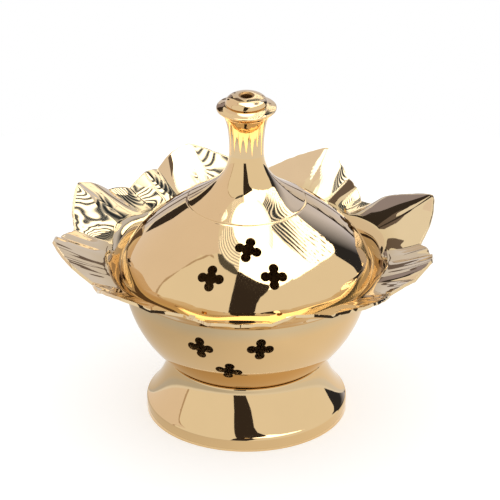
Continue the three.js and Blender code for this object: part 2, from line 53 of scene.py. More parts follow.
# The ball that the bowl is part of, which the foot's middle follows, and the screw's hole in both.
BOWL_RADIUS = 36.9 * MM
BOWL_RIM_DROP = 1.4 * MM
BOWL_CENTRE_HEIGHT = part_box("bowl")[1].z + BOWL_RIM_DROP
BOWL_FLAT_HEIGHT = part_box("bowl")[0].z
BOWL_FLAT_RADIUS = 8.6 * MM
SEAT_GAP = 0.12 * MM
SCREW_HOLE_RADIUS = 2.3 * MM
# Polished brass, and how smoke has browned it inside.
BRASS = (0.74, 0.53, 0.28)
BRASS_TINTS = (0.97, 1.03)
SMOKED_BRASS = (0.26, 0.14, 0.05)
LESS_SMOKED_BRASS = (0.42, 0.25, 0.10)
POLISHED_RING_DEPTH = 0.0004 * MM
SPUN_RING_DEPTH = 0.004 * MM
DIMPLE_DEPTH = 0.006 * MM


def steps_for(length):
    """How many steps a stretch of outline takes to be smooth in a mirror finish."""
    return max(2, round(length / POINT_SPACING))


def straight(start, end):
    """The points of a straight stretch, as (radius, height)."""
    steps = steps_for(math.dist(start, end))
    shares = [step / steps for step in range(steps + 1)]
    return [(start[0] + (end[0] - start[0]) * s, start[1] + (end[1] - start[1]) * s) for s in shares]


def curved(start, end, handles):
    """A curve between two points. Its handles are shares of the way between them, across and up."""
    run = end[0] - start[0]
    rise = end[1] - start[1]
    pulls = [Vector((start[0] + run * across, 0, start[1] + rise * up)) for across, up in handles]
    knots = [Vector((radius, 0, height)) for radius, height in (start, end)]
    count = steps_for(math.dist(start, end) * CURVE_EXCESS) + 1
    points = interpolate_bezier(knots[0], pulls[0], pulls[1], knots[1], count)
    return [(point.x, point.z) for point in points]


def ball_arc(ball_radius, from_radius, to_radius):
    """Points up the lower half of a ball round the bowl's middle."""
    first = math.asin(from_radius / ball_radius)
    last = math.asin(to_radius / ball_radius)
    steps = steps_for(ball_radius * (last - first))
    angles = [first + (last - first) * step / steps for step in range(steps + 1)]
    sines = [(math.sin(angle), math.cos(angle)) for angle in angles]
    return [(ball_radius * s, BOWL_CENTRE_HEIGHT - ball_radius * c) for s, c in sines]


def beside(line, distance):
    """The other face of a sheet: the same line moved to its left."""
    moved = []
    for place, (radius, height) in enumerate(line):
        before = line[max(place - 1, 0)]
        after = line[min(place + 1, len(line) - 1)]
        run = after[0] - before[0]
        rise = after[1] - before[1]
        length = math.hypot(run, rise)
        moved.append((radius - rise / length * distance, height + run / length * distance))
    return moved


def piece_from(mesh, name):
    """Makes a finished bmesh into an object, smooth all over."""
    for face in mesh.faces:
        face.smooth = True
    data = bpy.data.meshes.new(name)
    mesh.to_mesh(data)
    mesh.free()
    piece = bpy.data.objects.new(name, data)
    bpy.context.scene.collection.objects.link(piece)
    return piece


def settle(piece):
    """Applies a piece's modifiers and keeps its corners crisp."""
    depsgraph = bpy.context.evaluated_depsgraph_get()
    piece.data = bpy.data.meshes.new_from_object(piece.evaluated_get(depsgraph))
    piece.modifiers.clear()
    piece.data.materials.clear()
    piece.data.set_sharp_from_angle(angle=CRISP_ANGLE)


def round_edges(piece, width):
    """Breaks a piece's sharp edges, as polishing does."""
    rounding = piece.modifiers.new("Rounding", "BEVEL")
    rounding.width = width
    rounding.segments = 3
    rounding.limit_method = "ANGLE"
    rounding.angle_limit = CRISP_ANGLE


def cut(piece, cutter):
    """Cuts a solid out of a piece, and clears the solid away."""
    cutting = piece.modifiers.new("Cutting", "BOOLEAN")
    cutting.operation = "DIFFERENCE"
    cutting.solver = "MANIFOLD"
    cutting.object = cutter
    settle(piece)
    bpy.data.objects.remove(cutter)


def turned(name, outline, rounding, steps=SPIN_STEPS):
    """A piece spun or turned round the axis from its section's closed outline. Its sharp edges are
    rounded over the given width."""
    corners = []
    for corner in outline:
        if all(math.dist(corner, other) > SAME_PLACE for other in corners[:1] + corners[-1:]):
            corners.append(corner)
    mesh = bmesh.new()
    points = [mesh.verts.new((radius, 0, height)) for radius, height in corners]
    loop = zip(points, points[1:] + points[:1])
    edges = [mesh.edges.new(pair) for pair in loop if max(v.co.x for v in pair) > SAME_PLACE]
    parts = points + edges
    bmesh.ops.spin(mesh, geom=parts, axis=(0, 0, 1), angle=math.tau, steps=steps, use_merge=True)
    bmesh.ops.remove_doubles(mesh, verts=mesh.verts, dist=SAME_PLACE)
    bmesh.ops.recalc_face_normals(mesh, faces=mesh.faces)
    piece = piece_from(mesh, name)
    round_edges(piece, rounding)
    settle(piece)
    return piece


class Socket:
    """A shader socket that can stand in a sum. Each operation adds its Math node."""

    def __init__(self, finish, socket):
        self.finish = finish
        self.socket = socket

    def __add__(self, other):
        return self.finish.worked("ADD", self, other)

    def __radd__(self, other):
        return self.finish.worked("ADD", other, self)

    def __sub__(self, other):
        return self.finish.worked("SUBTRACT", self, other)

    def __rsub__(self, other):
        return self.finish.worked("SUBTRACT", other, self)

    def __mul__(self, other):
        return self.finish.worked("MULTIPLY", self, other)

    def __rmul__(self, other):
        return self.finish.worked("MULTIPLY", other, self)

    def __pow__(self, other):
        return self.finish.worked("POWER", self, other)

    def __lt__(self, other):
        return self.finish.worked("LESS_THAN", self, other)


class Finish:
    """A named material, whose nodes are added one call at a time."""

    def __init__(self, name):
        self.material = bpy.data.materials.new(name)
        self.material.use_nodes = True
        self.tree = self.material.node_tree
        self.tree.nodes.clear()

    def node(self, kind, settings=None, sockets=None, output=0):
        """Adds a node and gives one of its outputs. A colour is its red, green and blue."""
        made = self.tree.nodes.new(kind)
        for name, value in (settings or {}).items():
            setattr(made, name, value)
        for name, value in (sockets or {}).items():
            if isinstance(value, Socket):
                self.tree.links.new(value.socket, made.inputs[name])
            elif made.inputs[name].type == "RGBA":
                made.inputs[name].default_value = [*value, 1]
            else:
                made.inputs[name].default_value = value
        return None if output is None else Socket(self, made.outputs[output])

    def worked(self, operation, first, second=0.0):
        """What a Math node makes of one or two numbers."""
        return self.node("ShaderNodeMath", {"operation": operation}, {0: first, 1: second})

    def place(self):
        """The point on the piece, in metres."""
        return self.node("ShaderNodeTexCoord", output="Object")

    def noise(self, vector, size, detail=2.0):
        """Soft cloudy variation from 0 to 1, with features of about the given size in metres."""
        sockets = {"Vector": vector, "Scale": 1 / size, "Detail": detail}
        return self.node("ShaderNodeTexNoise", {}, sockets, "Fac")

    def ramp(self, value, start, end, low=0.0, high=1.0):
        """A number that goes from low to high while a value goes from start to end."""
        return self.node("ShaderNodeMapRange", {}, {0: value, 1: start, 2: end, 3: low, 4: high})

    def axes(self, place):
        """A point's three coordinates."""
        return [self.node("ShaderNodeSeparateXYZ", {}, {0: place}, way) for way in "XYZ"]

    def from_axis(self, place):
        """A point's distance from the axis."""
        x, y, _ = self.axes(place)
        return (x * x + y * y) ** 0.5

    def section(self, place):
        """A point seen in the piece's section: across its distance from the axis, up its height."""
        sockets = {"X": self.from_axis(place), "Z": self.axes(place)[2]}
        return self.node("ShaderNodeCombineXYZ", {}, sockets)

    def bumps(self, height):
        """The way the surface faces where bumps of a height in metres stand on it."""
        return self.node("ShaderNodeBump", {}, {"Distance": 1.0, "Height": height}, "Normal")

    def blend(self, share, first, second):
        """One colour mixed into another by a share."""
        sockets = {0: share, 6: first, 7: second}
        return self.node("ShaderNodeMix", {"data_type": "RGBA"}, sockets, 2)

    def glow(self, colour, strength=1.0):
        """A shader that gives off light of a colour and a strength."""
        return self.node("ShaderNodeEmission", {}, {"Color": colour, "Strength": strength})

    def close(self, **sockets):
        """Ends the material in one shader with the given sockets."""
        named = {name.replace("_", " "): value for name, value in sockets.items()}
        return self.end_in(self.node("ShaderNodeBsdfPrincipled", {}, named))

    def end_in(self, shader):
        """Joins the last shader to the material's output."""
        self.node("ShaderNodeOutputMaterial", {}, {"Surface": shader}, None)
        return self.material


def tints(colour, shares):
    """A darker and a lighter tint of a colour."""
    return [[part * share for part in colour] for share in shares]


def spun_brass(name, shell_height=None):
    """Brass polished to a mirror, with the lathe's fine rings. Faces that look inwards are as they
    came off the lathe, browned by smoke. Inwards is towards the shell's middle, at a height on the
    axis, or towards the axis where no height is given."""
    finish = Finish(name)
    place = finish.place()
    lift = 0 if shell_height is None else 1
    spread = {0: place, 1: (1, 1, lift), 2: (0, 0, -lift * (shell_height or 0))}
    outward = finish.node("ShaderNodeVectorMath", {"operation": "MULTIPLY_ADD"}, spread)
    facing = finish.node("ShaderNodeNewGeometry", output="Normal")
    sides = {0: facing, 1: outward}
    inside = finish.node("ShaderNodeVectorMath", {"operation": "DOT_PRODUCT"}, sides, "Value") < 0.0

    rings = finish.noise(finish.section(place), 0.5 * MM, 3.0)
    clouds = finish.noise(place, 9 * MM, 4.0)
    smears = finish.noise(place, 2.6 * MM, 5.0)
    dimples = finish.noise(place, 3.5 * MM, 1.0)
    polished = finish.blend(clouds, *tints(BRASS, BRASS_TINTS))
    smoked = finish.blend(smears, SMOKED_BRASS, LESS_SMOKED_BRASS)
    polished_roughness = 0.03 + 0.03 * smears * clouds
    spun_roughness = 0.34 + 0.2 * clouds
    ring_depth = POLISHED_RING_DEPTH + SPUN_RING_DEPTH * inside
    return finish.close(
        Base_Color=finish.blend(inside, polished, smoked),
        Metallic=1.0,
        Roughness=polished_roughness * (1 - inside) + spun_roughness * inside,
        Normal=finish.bumps(rings * ring_depth + dimples * DIMPLE_DEPTH),
    )


# The foot: one spun brass sheet that flares out to a plain upright band. At its top it is folded
# down into a dished middle that cradles the bowl. It is polished to a mirror outside, and left as
# it came off the lathe underneath.
FOOT_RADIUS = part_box("foot")[1].x
FOOT_WALL = 1.4 * MM
FOOT_BAND_HEIGHT = 3.4 * MM
FOOT_EDGE_RADIUS = 1.3 * MM
FOOT_EDGE_TURN = math.radians(50)
FOOT_EDGE_STEPS = 12
FOOT_FLARE = ((0.348, 0.161), (0.908, 0.593))
FOOT_LIP_RADIUS = 23.1 * MM
FOOT_LIP_WIDTH = 0.5 * MM
FOOT_LIP_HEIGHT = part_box("foot")[1].z
FOOT_FOLD_INSET = 0.45 * MM
FOOT_ROUNDING = 0.3 * MM
FOOT_SHELL_MIDDLE = -10 * MM

foot_edge_middle = FOOT_RADIUS - FOOT_EDGE_RADIUS
foot_edge_angles = [FOOT_EDGE_TURN * step / FOOT_EDGE_STEPS for step in range(FOOT_EDGE_STEPS + 1)]
foot_edge = [
    (
        foot_edge_middle + FOOT_EDGE_RADIUS * math.cos(angle),
        FOOT_BAND_HEIGHT + FOOT_EDGE_RADIUS * math.sin(angle),
    )
    for angle in foot_edge_angles
]
foot_flare = curved(foot_edge[-1], (FOOT_LIP_RADIUS + FOOT_LIP_WIDTH, FOOT_LIP_HEIGHT), FOOT_FLARE)
cradle_radius = BOWL_RADIUS + SEAT_GAP
cradle_flat_edge = BOWL_FLAT_RADIUS + SEAT_GAP
cradle_underside = ball_arc(
    cradle_radius + FOOT_WALL, cradle_flat_edge, FOOT_LIP_RADIUS - FOOT_FOLD_INSET
)
foot_inside = [p for p in beside(foot_flare, FOOT_WALL) if p[1] < cradle_underside[-1][1]]
foot_flat_underside = BOWL_FLAT_HEIGHT - FOOT_WALL
foot_outline = (
    straight((FOOT_RADIUS, 0), foot_edge[0])[:-1]
    + foot_edge
    + foot_flare[1:]
    + ball_arc(cradle_radius, cradle_flat_edge, FOOT_LIP_RADIUS)[::-1]
    + straight((BOWL_FLAT_RADIUS, BOWL_FLAT_HEIGHT), (SCREW_HOLE_RADIUS, BOWL_FLAT_HEIGHT))
    + straight((SCREW_HOLE_RADIUS, foot_flat_underside), (BOWL_FLAT_RADIUS, foot_flat_underside))
    + cradle_underside
    + foot_inside[::-1]
    + [(FOOT_RADIUS - FOOT_WALL, 0)]
)
foot = turned("foot_spinning", foot_outline, FOOT_ROUNDING)
foot.data.materials.append(spun_brass("foot_brass", FOOT_SHELL_MIDDLE))
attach(foot, "base")
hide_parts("foot")


# The bowl: most of a ball, spun from one brass disc, with a small flat in the bottom for its screw.
# Three groups of three four-lobed holes are punched through it to draw air. It is polished
# outside and browned by smoke inside.
BOWL_WALL = 1.0 * MM
BOWL_RIM_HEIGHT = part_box("bowl")[1].z
BOWL_ROUNDING = 0.12 * MM
LOBE_RADIUS = 1.5 * MM
LOBE_OFFSET = 2.55 * MM
LOBE_CORNER = 1.4 * MM
LOBE_STEPS = 16
PUNCH_REACH = 3 * MM
HOLE_GROUPS = 3
BOWL_GROUP_BEARING = 261.8
# The three holes of a group: how far each lies below the bowl's middle, in
# millimetres, and its turn from the group's middle and its twist about itself, in degrees.
BOWL_HOLES = ((9.9, -14.3, 0), (9.1, 14.8, -3), (18.4, -1.2, -10))


def punch(mesh, radius, height, tilt, bearing, twist):
    """Adds a four-lobed punch that stands square to a sheet at the given place."""
    half_turn = math.atan2(LOBE_CORNER, LOBE_CORNER - LOBE_OFFSET)
    outline = []
    for lobe in range(4):
        lobe_bearing = lobe * math.pi / 2
        for step in range(LOBE_STEPS + 1):
            angle = lobe_bearing + half_turn * (2 * step / LOBE_STEPS - 1)
            x = LOBE_OFFSET * math.cos(lobe_bearing) + LOBE_RADIUS * math.cos(angle)
            y = LOBE_OFFSET * math.sin(lobe_bearing) + LOBE_RADIUS * math.sin(angle)
            outline.append(mesh.verts.new((x, y, -PUNCH_REACH)))
    base = mesh.faces.new(outline)
    grown = bmesh.ops.extrude_face_region(mesh, geom=[base])["geom"]
    far_points = [part for part in grown if isinstance(part, bmesh.types.BMVert)]
    bmesh.ops.translate(mesh, verts=far_points, vec=(0, 0, 2 * PUNCH_REACH))
    stand = (
        Matrix.Rotation(math.radians(bearing), 4, "Z")
        @ Matrix.Translation((radius, 0, height))
        @ Matrix.Rotation(math.pi / 2 - tilt, 4, "Y")
        @ Matrix.Rotation(math.radians(twist), 4, "Z")
    )
    bmesh.ops.transform(mesh, matrix=stand, verts=outline + far_points)


def pierce(piece, group_bearing, holes):
    """Punches a piece's groups of holes. A hole is its place on the sheet, which is its radius, its
    height and its tilt, then its turn from the group's middle and its twist about itself."""
    mesh = bmesh.new()
    for group in range(HOLE_GROUPS):
        middle = group_bearing + 360 / HOLE_GROUPS * group
        for place, turn, twist in holes:
            punch(mesh, *place, middle + turn, twist)
    bmesh.ops.recalc_face_normals(mesh, faces=mesh.faces)
    cut(piece, piece_from(mesh, "punches"))


def place_on_bowl(height):
    """A hole's place on the bowl: its radius, its height and its tilt."""
    drop = height - BOWL_CENTRE_HEIGHT
    return (math.sqrt(BOWL_RADIUS**2 - drop**2), height, math.asin(drop / BOWL_RADIUS))


bowl_inner_radius = BOWL_RADIUS - BOWL_WALL
bowl_floor_height = BOWL_FLAT_HEIGHT + BOWL_WALL
rim_radius = math.sqrt(BOWL_RADIUS**2 - BOWL_RIM_DROP**2)
mouth_radius = math.sqrt(bowl_inner_radius**2 - BOWL_RIM_DROP**2)
floor_radius = math.sqrt(bowl_inner_radius**2 - (BOWL_CENTRE_HEIGHT - bowl_floor_height) ** 2)
bowl_outline = (
    straight((SCREW_HOLE_RADIUS, BOWL_FLAT_HEIGHT), (BOWL_FLAT_RADIUS, BOWL_FLAT_HEIGHT))
    + ball_arc(BOWL_RADIUS, BOWL_FLAT_RADIUS, rim_radius)
    + ball_arc(bowl_inner_radius, floor_radius, mouth_radius)[::-1]
    + straight((floor_radius, bowl_floor_height), (SCREW_HOLE_RADIUS, bowl_floor_height))
)
bowl = turned("pierced_bowl", bowl_outline, BOWL_ROUNDING)
pierce(
    bowl,
    BOWL_GROUP_BEARING,
    [(place_on_bowl(BOWL_CENTRE_HEIGHT - drop * MM), turn, twist) for drop, turn, twist in BOWL_HOLES],
)
bowl.data.materials.append(spun_brass("bowl_brass", BOWL_CENTRE_HEIGHT))
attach(bowl, "base")
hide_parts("bowl")


# The petal ring: one brass sheet with a round hole, flat where it is soldered on the bowl's rim,
# turned up into a steep throat and cut into nine petals. The petals are bent by hand, so no two
# are alike, and their edges are nicked with a file. Both faces are polished.
PETAL_SHEET = 0.9 * MM
LEDGE_HEIGHT = BOWL_RIM_HEIGHT + PETAL_SHEET
LID_RADIUS = BOWL_RADIUS + 0.8 * MM
LID_GAP = 0.4 * MM
THROAT_FOOT_RADIUS = LID_RADIUS + LID_GAP
THROAT_RADIUS = THROAT_FOOT_RADIUS + 3.5 * MM
THROAT_RISE = 3.6 * MM
THROAT_RIDGE_RISE = 1.0 * MM
PETAL_COUNT = 9
PETAL_LENGTH = 17.4 * MM
PETAL_RISE = 12.6 * MM
NOTCH_LENGTH = 10.0 * MM
NOTCH_RISE = 6.8 * MM
FIRST_PETAL_BEARING = 26
PETAL_FULLNESS = 1.15
PETAL_SAG = 0.5 * MM
PETAL_ROUNDING = 0.14 * MM
# How much a petal's middle crease is rounded, at the petals' edge and at their fold.
EDGE_SOFTNESS = 0.06
FOLD_SOFTNESS = 0.4
# The file's teeth, the wider bites of the shears, and how slowly the file's pressure changes.
NICK_DEPTH = 0.55 * MM
NICKS_PER_SIDE = 5
BITES_PER_SIDE = 2.6
PRESSURE_PER_SIDE = 0.7
STEPS_PER_NICK = 9
SIDE_STEPS = NICKS_PER_SIDE * STEPS_PER_NICK
NICK_ROWS = 3
EDGE_FILED = 0.15 * MM
HAND_WAVE = 0.17 * MM
WAVE_SIZE = 10 * MM
# A hammer drew out the petals in front. Its streaks along them fade out towards the back.
STREAK_DEPTH = 0.16 * MM
STREAKS_ROUND = 26
STREAK_LENGTH = 30 * MM
STREAKS_END = 20 * MM
STREAKS_FADE = 30 * MM
PALE_BRASS = (0.76, 0.58, 0.34)
PALE_BRASS_TINTS = (0.94, 1.05)
# The throat's darker brass is painted shade in the recess under the dome.
SHADED_THROAT_BRASS = (0.68, 0.50, 0.26)
THROAT_FADE = 6 * MM
DENT_DEPTH = 0.034 * MM
THROAT_DENT_DEPTH = 0.006 * MM
GRAIN_DEPTH = 0.0002 * MM
# How each tip, and the notch after it, was bent: outwards and upwards in millimetres, and round
# the axis in degrees.
TIP_BENDS = (
    (2.3, 0.0, -3.0), (0.9, 0.8, -0.4), (1.1, 0.9, 1.5), (1.2, 0.3, 2.1), (-1.0, 0.0, -0.1),
    (-1.8, 0.4, 4.4), (-0.4, -0.8, 2.2), (-0.1, -0.5, -0.1), (-1.6, -1.2, -3.0),
)
NOTCH_BENDS = (
    (-1.1, -2.2, 0.0), (0.4, -0.4, 0.0), (1.6, 0.4, 6.0), (1.8, -0.7, 0.0), (-0.4, 0.6, 1.0),
    (-2.4, 1.6, 2.0), (-2.8, 2.0, 1.0), (0.2, 0.4, -1.0), (1.0, -1.4, 0.0),
)
# Creases that bending left across the petals' sides: bearing and spread to each side in degrees,
# and depth at the petals' edge in millimetres.
CREASES = (
    (43.0, 4.5, 1.8), (55.5, 5.5, 1.8), (118.5, 6.0, 2.6), (138.5, 5.5, 1.7), (176.0, 5.0, 1.0),
    (215.0, 5.5, 0.9), (239.0, 5.0, 0.8), (258.0, 5.0, 0.7), (278.0, 5.0, 0.8), (297.0, 5.0, 0.8),
    (335.0, 5.0, 1.2), (355.0, 5.0, 1.4),
)
CREASE_SHARPNESS = 1.5
CREASE_BELLY_SHARE = 0.45
# How many rows of points go across the ledge, up the throat and out along the petals.
LEDGE_ROWS = 4
THROAT_ROWS = 8
PETAL_ROWS = 26
# The section is rounded at the ledge's end, the throat's top and the petal's belly, each over a
# distance to both sides. The throat's rows end at one point of it, partway round the throat's top.
CORNER_REACHES = (0.5 * MM, 1.6 * MM, 3.4 * MM)
CORNER_STEPS = 12
THROAT_END = 21


def petal_station(index):
    """A tip where the index is even and a notch where it is odd: reach, height and bearing."""
    petal = index // 2
    if index % 2 == 0:
        out, up, turn = TIP_BENDS[petal % PETAL_COUNT]
        reach, height = PETAL_LENGTH, PETAL_RISE
    else:
        out, up, turn = NOTCH_BENDS[petal % PETAL_COUNT]
        reach, height = NOTCH_LENGTH, NOTCH_RISE
    bearing = FIRST_PETAL_BEARING + 360 / PETAL_COUNT * index / 2 + turn
    return THROAT_RADIUS + reach + out * MM, LEDGE_HEIGHT + height + up * MM, bearing


def mix(first, second, share):
    """The number that lies a share of the way from one to another."""
    return first + (second - first) * share


def bend(before, corner, after, share):
    """A point on the rounded corner between two places, by a share from 0 to 1."""
    near = [mix(a, b, share) for a, b in zip(before, corner)]
    far = [mix(a, b, share) for a, b in zip(corner, after)]
    return tuple(mix(a, b, share) for a, b in zip(near, far))


def rounded_line(corners, radii):
    """A line through corners, each rounded over a distance to both sides of it."""
    line = [corners[0]]
    for before, corner, after, reach in zip(corners, corners[1:], corners[2:], radii):
        start = [mix(a, b, reach / math.dist(corner, before)) for a, b in zip(corner, before)]
        end = [mix(a, b, reach / math.dist(corner, after)) for a, b in zip(corner, after)]
        line += [bend(start, corner, end, step / CORNER_STEPS) for step in range(CORNER_STEPS + 1)]
    line.append(corners[-1])
    return line


def even_points(line, count):
    """Count points spread evenly along a line, its two ends among them."""
    lengths = [0]
    for first, second in zip(line, line[1:]):
        lengths.append(lengths[-1] + math.dist(first, second))
    spread = []
    part = 0
    for place in range(count):
        wanted = lengths[-1] * place / (count - 1)
        while part < len(line) - 2 and lengths[part + 1] < wanted:
            part += 1
        share = (wanted - lengths[part]) / (lengths[part + 1] - lengths[part])
        spread.append(tuple(mix(a, b, share) for a, b in zip(line[part], line[part + 1])))
    return spread


def softened(ridge, softness):
    """A petal's middle crease, rounded by a softness from 0 up."""
    off = math.hypot(1 - ridge, softness) - softness
    return 1 - off / (math.hypot(1, softness) - softness)


def nick_depth(side, along):
    """How deep the file and the shears went at a place along one side of a petal, from 0 to 1."""
    place = side + along
    teeth = 1 - min(abs(noise.noise((place * NICKS_PER_SIDE, 0.5, 0.5))) * 4, 1)
    bites = max(noise.noise((place * BITES_PER_SIDE, 4.5, 2.5)) - 0.2, 0) * 1.6
    pressure = max(noise.noise((place * PRESSURE_PER_SIDE, 8.5, 6.5)) + 0.3, 0)
    return 0.9 * teeth * pressure + bites


def crease_depth(bearing):
    """How deep the creases are at a bearing, at the petals' edge."""
    depth = 0
    for middle, spread, deepest in CREASES:
        turn = (bearing - middle + 180) % 360 - 180
        depth += deepest * max(1 - abs(turn) / spread, 0) ** CREASE_SHARPNESS
    return depth * MM


def nicked(line, depth):
    """The same line, cut short by a depth. Only its last few points move, along the line itself."""
    end = Vector(line[-1])
    back = (Vector(line[-2]) - end).normalized()
    step = (Vector(line[-2]) - end).length
    kept = line[:-NICK_ROWS]
    reach = step * NICK_ROWS
    moved = [step * place * (reach - depth) / reach + depth for place in range(NICK_ROWS)]
    return kept + [tuple(end + back * distance) for distance in moved[::-1]]


def petal_line(side, along):
    """The ring's upper face at a place along one side of a petal: its rows' radii and heights, and
    the bearing. Even sides run from a tip to the notch after it, and odd ones on to the next tip."""
    first = petal_station(side)
    second = petal_station(side + 1)
    tip, notch = (first, second) if side % 2 == 0 else (second, first)
    ridge = 1 - along if side % 2 == 0 else along
    bearing = mix(notch[2], tip[2], ridge)
    wave = 0.5 - 0.5 * math.cos(math.pi * ridge)
    edge_share = 1 - (1 - ridge) ** PETAL_FULLNESS
    crease = crease_depth(bearing)
    edge_height = mix(notch[1], tip[1], softened(ridge, EDGE_SOFTNESS)) - crease
    edge = (mix(notch[0], tip[0], edge_share) - EDGE_FILED, edge_height)
    throat_top = (THROAT_RADIUS, LEDGE_HEIGHT + THROAT_RISE + THROAT_RIDGE_RISE * wave)
    fold = mix(notch[1], tip[1], softened(ridge, FOLD_SOFTNESS))
    belly = (
        mix(THROAT_RADIUS, edge[0], 0.5),
        mix(throat_top[1], fold, 0.5) - PETAL_SAG - crease * CREASE_BELLY_SHARE,
    )
    foot_corner = (THROAT_FOOT_RADIUS, LEDGE_HEIGHT)
    line = rounded_line(
        [(mouth_radius, LEDGE_HEIGHT), foot_corner, throat_top, belly, edge], CORNER_REACHES
    )
    ledge_end = THROAT_FOOT_RADIUS - CORNER_REACHES[0]
    shares = [step / LEDGE_ROWS for step in range(LEDGE_ROWS)]
    ledge = [(mix(mouth_radius, ledge_end, share), LEDGE_HEIGHT) for share in shares]
    throat = even_points(line[1 : THROAT_END + 1], THROAT_ROWS)
    petal = nicked(even_points(line[THROAT_END:], PETAL_ROWS)[1:], NICK_DEPTH * nick_depth(side, along))
    return ledge + throat + petal, bearing


def ring_section(column):
    """Every point of the ring's section at one of its columns, with the section's bearing."""
    line, bearing = petal_line(column // SIDE_STEPS, column % SIDE_STEPS / SIDE_STEPS)
    return beside(line, -PETAL_SHEET) + line[::-1], math.radians(bearing)


def hammered_brass(name):
    """Brass sheet polished on both faces, a little uneven from being bent by hand. The throat is
    painted darker, as painted shade, and is more even."""
    finish = Finish(name)
    place = finish.place()
    outer = finish.ramp(finish.from_axis(place), THROAT_RADIUS, THROAT_RADIUS + THROAT_FADE)
    clouds = finish.noise(place, 8 * MM, 4.0)
    grain = finish.noise(place, 0.4 * MM, 4.0)
    dents = finish.noise(place, 8 * MM, 0.5)
    depth = THROAT_DENT_DEPTH + DENT_DEPTH * outer
    sheet = finish.blend(clouds, *tints(PALE_BRASS, PALE_BRASS_TINTS))
    return finish.close(
        Base_Color=finish.blend(outer, SHADED_THROAT_BRASS, sheet),
        Metallic=1.0,
        Roughness=0.02 + 0.03 * clouds * grain,
        Normal=finish.bumps(dents * depth + grain * GRAIN_DEPTH),
    )


ring_columns = 2 * PETAL_COUNT * SIDE_STEPS
sections = [ring_section(column) for column in range(ring_columns)]
ring_rows = len(sections[0][0])
mesh = bmesh.new()
bmesh.ops.create_grid(mesh, x_segments=ring_columns, y_segments=ring_rows, size=0.5)
for point in mesh.verts:
    column = round((point.co.x + 0.5) * ring_columns) % ring_columns
    row = round((point.co.y + 0.5) * ring_rows) % ring_rows
    section, angle = sections[column]
    radius, height = section[row]
    spot = Vector((radius * math.cos(angle), radius * math.sin(angle), height))
    out = max(radius - THROAT_RADIUS, 0) / PETAL_LENGTH
    spot.z += HAND_WAVE * out * noise.noise(Vector((spot.x, spot.y, 0)) / WAVE_SIZE)
    streak = Vector((math.cos(angle), math.sin(angle), 0)) * STREAKS_ROUND
    streak.z = radius / STREAK_LENGTH
    in_front = min(max((STREAKS_END - spot.y) / STREAKS_FADE, 0), 1)
    spot.z += STREAK_DEPTH * out * in_front * noise.noise(streak)
    point.co = spot
bmesh.ops.remove_doubles(mesh, verts=mesh.verts, dist=SAME_PLACE)
bmesh.ops.recalc_face_normals(mesh, faces=mesh.faces)
petals = piece_from(mesh, "bent_petal_ring")
round_edges(petals, PETAL_ROUNDING)
settle(petals)
petals.data.materials.append(hammered_brass("petal_brass"))
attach(petals, "base")
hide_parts("petal_ring")


# The screw, washer and nut: plated steel, through the flats of the bowl and the foot. The screw
# has a slotted round head inside the bowl, and its nut is tightened from under the foot.
SCREW_RADIUS = 2.0 * MM
SCREW_HEAD_RADIUS = 4.2 * MM
SCREW_HEAD_SIDE = 0.9 * MM
SCREW_SLOT_WIDTH = 1.0 * MM
SCREW_SLOT_DEPTH = 1.0 * MM
SCREW_CHAMFER = 0.4 * MM
SCREW_CROWN = ((0, 0.6), (0.5, 1))
SCREW_ROUNDING = 0.08 * MM
SCREW_STEPS = 64
THREAD_PITCH = 0.7 * MM
THREAD_DEPTH = 0.32 * MM
THREAD_ROWS = 55
ROWS_PER_TURN = 8
WASHER_ROUNDING = 0.12 * MM
WASHER_STEPS = 96
NUT_ROUNDING = 0.15 * MM
NUT_STEPS = 48
STEEL = (0.60, 0.60, 0.58)
DULL_STEEL = (0.48, 0.48, 0.464)


def plated_steel(name):
    """Zinc-plated steel: grey, a little cloudy, with fine turning marks."""
    finish = Finish(name)
    place = finish.place()
    clouds = finish.noise(place, 1.2 * MM, 4.0)
    grain = finish.noise(place, 0.15 * MM, 3.0)
    return finish.close(
        Base_Color=finish.blend(clouds, DULL_STEEL, STEEL),
        Metallic=1.0,
        Roughness=0.26 + 0.16 * clouds,
        Normal=finish.bumps(grain * 0.004 * MM),
    )


screw_low, screw_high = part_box("base_screw")
head_bottom = bowl_floor_height
thread_bottom = screw_low.z + SCREW_CHAMFER
thread_rise = THREAD_PITCH / ROWS_PER_TURN
screw_outline = (
    [(0, screw_low.z)]
    + straight((SCREW_RADIUS - SCREW_CHAMFER, screw_low.z), (SCREW_RADIUS, thread_bottom))
    + [(SCREW_RADIUS, thread_bottom + thread_rise * (row + 1)) for row in range(THREAD_ROWS)]
    + [(SCREW_RADIUS, head_bottom), (SCREW_HEAD_RADIUS, head_bottom)]
    + curved((SCREW_HEAD_RADIUS, head_bottom + SCREW_HEAD_SIDE), (0, screw_high.z), SCREW_CROWN)
)
screw = turned("slotted_screw", screw_outline, SCREW_ROUNDING, SCREW_STEPS)
mesh = bmesh.new()
mesh.from_mesh(screw.data)
for point in mesh.verts:
    around = math.atan2(point.co.y, point.co.x) / math.tau
    radius = math.hypot(point.co.x, point.co.y)
    if radius > SCREW_RADIUS - 0.1 * MM and point.co.z < head_bottom - 0.2 * MM:
        turn = (point.co.z / THREAD_PITCH - around) % 1
        share = 1 - THREAD_DEPTH * abs(2 * turn - 1) / radius
        point.co.x *= share
        point.co.y *= share
mesh.to_mesh(screw.data)
mesh.free()
mesh = bmesh.new()
bmesh.ops.create_cube(mesh, size=1)
slot_size = (SCREW_HEAD_RADIUS * 3, SCREW_SLOT_WIDTH, SCREW_SLOT_DEPTH * 2)
bmesh.ops.scale(mesh, verts=mesh.verts, vec=slot_size)
bmesh.ops.translate(mesh, verts=mesh.verts, vec=(0, 0, screw_high.z))
cut(screw, piece_from(mesh, "slot_cutter"))
screw.data.materials.append(plated_steel("screw_plating"))
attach(screw, "base")
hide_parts("base_screw")

